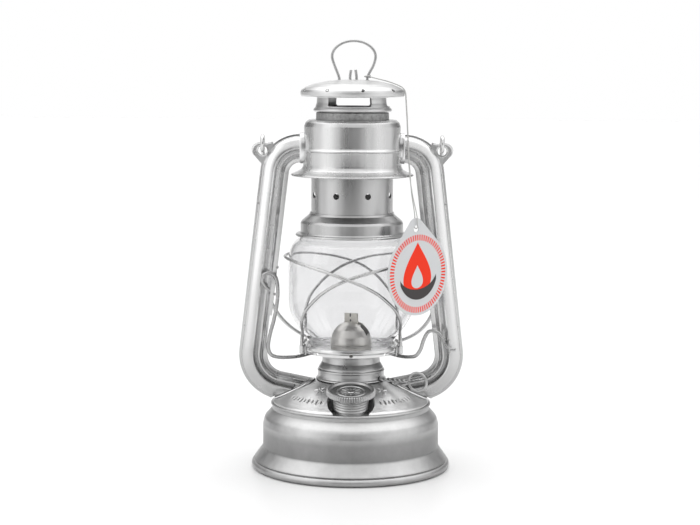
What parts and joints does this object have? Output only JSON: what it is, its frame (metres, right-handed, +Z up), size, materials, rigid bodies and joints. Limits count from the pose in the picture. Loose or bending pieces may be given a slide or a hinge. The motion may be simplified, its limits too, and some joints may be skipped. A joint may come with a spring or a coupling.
{
  "type": "barn lantern",
  "caption": "Galvanised hurricane lantern with a flat-wick burner, a lifting globe in a crossed wire guard, side air tubes, a spring-loaded chimney, a swinging bail and a hang tag on a string.",
  "frame": {"origin": "on the ground under the middle of the fuel tank", "axes": "+Z up along the lantern's axis; -Y to the front, where the filler cap is; +X to the right, the side of the wick knob"},
  "size_m": [0.1498, 0.1328, 0.2843],
  "materials": {
    "bright_tin": "bright galvanised sheet, lightly brushed",
    "dull_tin": "dull galvanised sheet",
    "wire": "plated steel wire",
    "brass": "satin",
    "glass": "clear pressed glass",
    "cotton": "woven flat cotton wick",
    "rubber": "moulded ring",
    "card": "coated card, printed",
    "cord": "thin white string"
  },
  "bodies": {
    "frame": {"tank_body": "dull_tin", "tank_bottom": "dull_tin", "tank_top": "bright_tin", "filler_well": "dull_tin", "filler_neck": "dull_tin", "burner_collar": "dull_tin", "burner_cone": "dull_tin", "air_distributor": "dull_tin", "wick_tube": "brass", "burner_dome": "dull_tin", "hood": "bright_tin", "hood_neck": "dull_tin", "chimney_spring": "wire", "side_tube_left_front": "bright_tin", "side_tube_left_back": "bright_tin", "side_tube_right_front": "bright_tin", "side_tube_right_back": "bright_tin", "hood_collar_left": "bright_tin", "hood_collar_right": "bright_tin", "tube_foot_left": "bright_tin", "tube_foot_right": "bright_tin", "lever_eye": "wire"},
    "globe_carriage": {"globe_plate": "bright_tin", "globe": "glass", "guard_wire_left": "wire", "guard_wire_right": "wire", "guard_clip_left": "wire", "guard_clip_right": "wire"},
    "lift_lever": {"lift_lever": "wire"},
    "chimney": {"chimney_bell": "bright_tin", "inner_chimney": "bright_tin", "crown": "bright_tin", "cap_base": "bright_tin", "cap": "bright_tin", "top_ring": "wire", "string": "cord", "string_knot": "cord", "tag": "card"},
    "wick_knob": {"wick_knob": "wire", "spur_wheels": "brass"},
    "wick": {"wick": "cotton"},
    "cap_gasket": {"filler_gasket": "rubber"},
    "filler_cap": {"filler_cap": "dull_tin"},
    "bail": {"bail": "wire"}
  },
  "joints": [
    {"name": "globe_lift", "type": "slide", "parent": "frame", "child": "globe_carriage", "axis": [0, 0, 1], "range_m": [0, 0.0067]},
    {"name": "lever_swing", "type": "hinge", "parent": "frame", "child": "lift_lever", "pos_m": [0.0652, -0.0103, 0.0812], "axis": [0, 1, 0], "range_deg": [0, 5]},
    {"name": "chimney_lift", "type": "slide", "parent": "globe_carriage", "child": "chimney", "axis": [0, 0, 1], "range_m": [0, 0.012], "stiffness_N_per_m": 150, "springref_m": -0.01, "deforming": ["chimney_spring"]},
    {"name": "wick_turn", "type": "hinge", "parent": "frame", "child": "wick_knob", "pos_m": [-0.00154, -0.0038, 0.0609], "axis": [0.9272, -0.3746, 0], "range_deg": [-390, 80]},
    {"name": "wick_rise", "type": "slide", "parent": "frame", "child": "wick", "axis": [0, 0, 1], "range_m": [-0.0176, 0.0036]},
    {"name": "cap_rise", "type": "slide", "parent": "frame", "child": "cap_gasket", "axis": [0, -0.1822, 0.9833], "range_m": [0, 0.00399]},
    {"name": "cap_turn", "type": "hinge", "parent": "cap_gasket", "child": "filler_cap", "pos_m": [0, -0.0402, 0.0592], "axis": [0, -0.1822, 0.9833], "range_deg": [0, 720]},
    {"name": "bail_swing", "type": "hinge", "parent": "frame", "child": "bail", "pos_m": [0, 0, 0.2166], "axis": [1, 0, 0], "range_deg": [0, 250]}
  ],
  "couplings": [
    {"joint": "lever_swing", "follows": "globe_lift", "rad_per_m": 12.76},
    {"joint": "wick_turn", "follows": "wick_rise", "rad_per_m": 384.62},
    {"joint": "cap_turn", "follows": "cap_rise", "rad_per_m": 3144.7}
  ]
}
